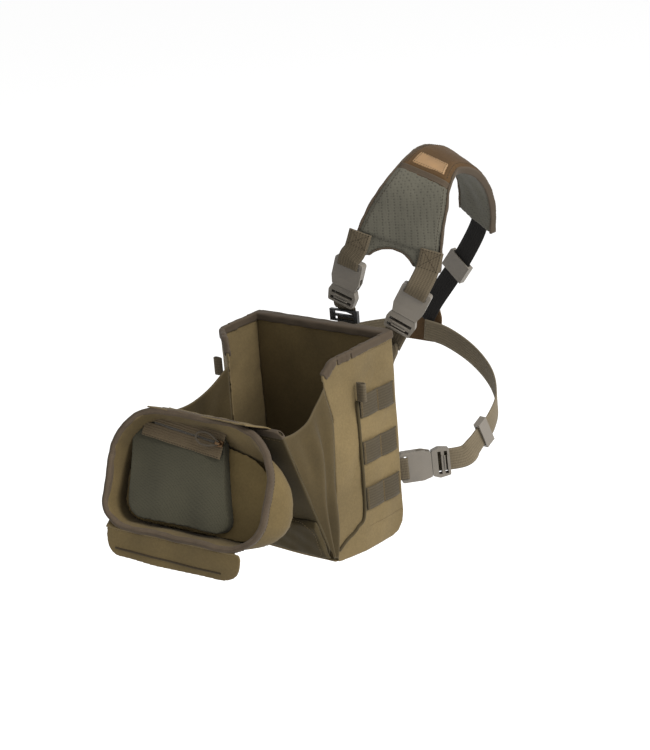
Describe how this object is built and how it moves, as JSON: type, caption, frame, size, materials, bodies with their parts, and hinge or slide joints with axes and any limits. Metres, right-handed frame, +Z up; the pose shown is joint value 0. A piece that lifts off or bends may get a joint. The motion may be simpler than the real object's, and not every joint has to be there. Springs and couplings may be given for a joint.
{
  "type": "binocular harness pack",
  "caption": "Chest-worn canvas pack, standing open with its lid folded forward, on a padded shoulder strap with side-release buckles and a waist belt.",
  "frame": {"origin": "centre of the padded face that rests on the wearer's chest", "axes": "+Y into the wearer, out of the padded face; +Z up; +X to the right seen from the front; -Y is the front of the pack"},
  "size_m": [0.3187, 0.4667, 0.4038],
  "materials": {
    "acetal": "moulded, matt",
    "acetal_black": "moulded, matt",
    "canvas_shade": "matte woven",
    "canvas_warm": "matte woven",
    "foam": "closed cell foam, covered",
    "grosgrain": "ribbed tape",
    "leather": "smooth, blank",
    "lid_mesh": "fine stretch mesh",
    "paracord": "braided cord",
    "slider_metal": "antique",
    "spacer_mesh": "open spacer mesh",
    "waxed_canvas": "matte woven, waxed",
    "webbing_dark": "woven nylon webbing",
    "webbing_tan": "woven nylon webbing"
  },
  "bodies": {
    "pack_body": {"back_liner": "canvas_shade", "back_foam": "foam", "back_shell": "waxed_canvas", "chest_mesh_pad": "spacer_mesh", "bottom_panel": "waxed_canvas", "side_panel_left": "waxed_canvas", "side_panel_right": "waxed_canvas", "seam_piping": "grosgrain", "rim_binding": "grosgrain", "molle_webbing_left": "webbing_tan", "molle_webbing_right": "webbing_tan", "tab_loops": "webbing_tan", "gusset_left": "waxed_canvas", "gusset_right": "waxed_canvas", "shoulder_foam": "foam", "shoulder_mesh": "spacer_mesh", "shoulder_canvas": "canvas_warm", "shoulder_binding": "grosgrain", "leather_patch": "leather", "leg_webbing_left": "webbing_tan", "leg_webbing_right": "webbing_tan", "top_ring": "acetal_black", "ring_tab": "webbing_dark", "anchor_webbing_left": "webbing_dark", "anchor_webbing_right": "webbing_dark", "buckle_socket_left": "acetal", "buckle_socket_right": "acetal", "buckle_socket_belt": "acetal", "belt_stub": "webbing_tan", "belt_right": "webbing_tan", "belt_left": "webbing_tan", "rear_webbing": "webbing_tan", "rear_junction": "waxed_canvas"},
    "front_panel": {"front_panel": "canvas_shade", "front_pocket": "canvas_shade", "front_binding": "grosgrain"},
    "hinge_strip": {"hinge_strip": "canvas_warm"},
    "lid": {"lid_shell": "canvas_warm", "lid_binding": "grosgrain", "lid_foam": "foam", "lid_lining": "canvas_warm", "mesh_pocket": "lid_mesh", "zipper_tapes": "grosgrain", "zipper_coil": "grosgrain"},
    "zipper_slider": {"zipper_slider": "slider_metal", "pull_cord": "paracord"},
    "lid_flap": {"lid_flap": "canvas_warm", "flap_piping": "grosgrain"},
    "plug_left": {"buckle_plug_left": "acetal"},
    "arm_left_inner": {"release_arm_left_inner": "acetal"},
    "arm_left_outer": {"release_arm_left_outer": "acetal"},
    "plug_right": {"buckle_plug_right": "acetal"},
    "arm_right_inner": {"release_arm_right_inner": "acetal"},
    "arm_right_outer": {"release_arm_right_outer": "acetal"},
    "plug_belt": {"buckle_plug_belt": "acetal"},
    "arm_belt_upper": {"release_arm_belt_upper": "acetal"},
    "arm_belt_lower": {"release_arm_belt_lower": "acetal"},
    "belt_slide": {"belt_slide": "acetal"},
    "rear_slide": {"rear_slide": "acetal"}
  },
  "joints": [
    {"name": "front_panel_hinge", "type": "hinge", "parent": "pack_body", "child": "front_panel", "pos_m": [0, -0.113, -0.096], "axis": [-1, 0, 0], "range_deg": [0, 14], "deforming": ["gusset_left", "gusset_right"]},
    {"name": "lid_fold", "type": "hinge", "parent": "hinge_strip", "child": "lid", "pos_m": [0, -0.20825, 0.07922], "axis": [-0.9929, -0.1112, 0.0427], "range_deg": [0, 178]},
    {"name": "hinge_strip_fold", "type": "hinge", "parent": "front_panel", "child": "hinge_strip", "pos_m": [0, -0.1793, 0.06811], "axis": [-1, 0, 0], "range_deg": [0, 44]},
    {"name": "lid_flap_fold", "type": "hinge", "parent": "lid", "child": "lid_flap", "pos_m": [-0.00052, -0.25349, -0.03838], "axis": [-0.9716, -0.2193, 0.0886], "range_deg": [0, 126]},
    {"name": "zipper_slide", "type": "slide", "parent": "lid", "child": "zipper_slider", "axis": [-0.9659, -0.1806, 0.1857], "range_m": [0, 0.05]},
    {"name": "plug_left_slide", "type": "slide", "parent": "pack_body", "child": "plug_left", "axis": [-0.3533, 0.0208, -0.9353], "range_m": [0, 0.0138]},
    {"name": "release_left_inner", "type": "hinge", "parent": "plug_left", "child": "arm_left_inner", "pos_m": [0.03364, 0.00515, 0.16002], "axis": [0.1229, -0.9901, -0.0684], "range_deg": [0, 8], "stiffness_Nm_per_rad": 0.02},
    {"name": "release_left_outer", "type": "hinge", "parent": "plug_left", "child": "arm_left_outer", "pos_m": [0.01806, 0.00281, 0.16585], "axis": [-0.1229, 0.9901, 0.0684], "range_deg": [0, 8], "stiffness_Nm_per_rad": 0.02},
    {"name": "plug_right_slide", "type": "slide", "parent": "pack_body", "child": "plug_right", "axis": [-0.4912, -0.1404, -0.8596], "range_m": [0, 0.0138]},
    {"name": "release_right_outer", "type": "hinge", "parent": "plug_right", "child": "arm_right_outer", "pos_m": [0.09911, 0.02108, 0.1316], "axis": [0.3721, -0.9262, -0.0614], "range_deg": [0, 8], "stiffness_Nm_per_rad": 0.02},
    {"name": "release_right_inner", "type": "hinge", "parent": "plug_right", "child": "arm_right_inner", "pos_m": [0.08588, 0.0152, 0.14012], "axis": [-0.3721, 0.9262, 0.0614], "range_deg": [0, 8], "stiffness_Nm_per_rad": 0.02},
    {"name": "plug_belt_slide", "type": "slide", "parent": "pack_body", "child": "plug_belt", "axis": [0.6883, 0.7245, 0.0362], "range_m": [0, 0.0138]},
    {"name": "release_belt_upper", "type": "hinge", "parent": "plug_belt", "child": "arm_belt_upper", "pos_m": [0.10709, 0.02607, -0.02264], "axis": [0.725, -0.6888, 0.0017], "range_deg": [0, 8], "stiffness_Nm_per_rad": 0.02},
    {"name": "release_belt_lower", "type": "hinge", "parent": "plug_belt", "child": "arm_belt_lower", "pos_m": [0.10753, 0.02649, -0.03943], "axis": [-0.725, 0.6888, -0.0017], "range_deg": [0, 8], "stiffness_Nm_per_rad": 0.02},
    {"name": "belt_slide_move", "type": "slide", "parent": "pack_body", "child": "belt_slide", "axis": [0.0344, 0.8939, 0.4469], "range_m": [-0.003, 0.003]},
    {"name": "rear_slide_move", "type": "slide", "parent": "pack_body", "child": "rear_slide", "axis": [0.6239, -0.052, 0.7798], "range_m": [-0.006, 0.006]}
  ],
  "couplings": [
    {"joint": "hinge_strip_fold", "follows": "lid_fold", "ratio": 0.24719},
    {"joint": "lid_flap_fold", "follows": "lid_fold", "ratio": 0.70786},
    {"joint": "release_left_outer", "follows": "release_left_inner", "ratio": 1},
    {"joint": "release_right_inner", "follows": "release_right_outer", "ratio": 1},
    {"joint": "release_belt_lower", "follows": "release_belt_upper", "ratio": 1}
  ]
}
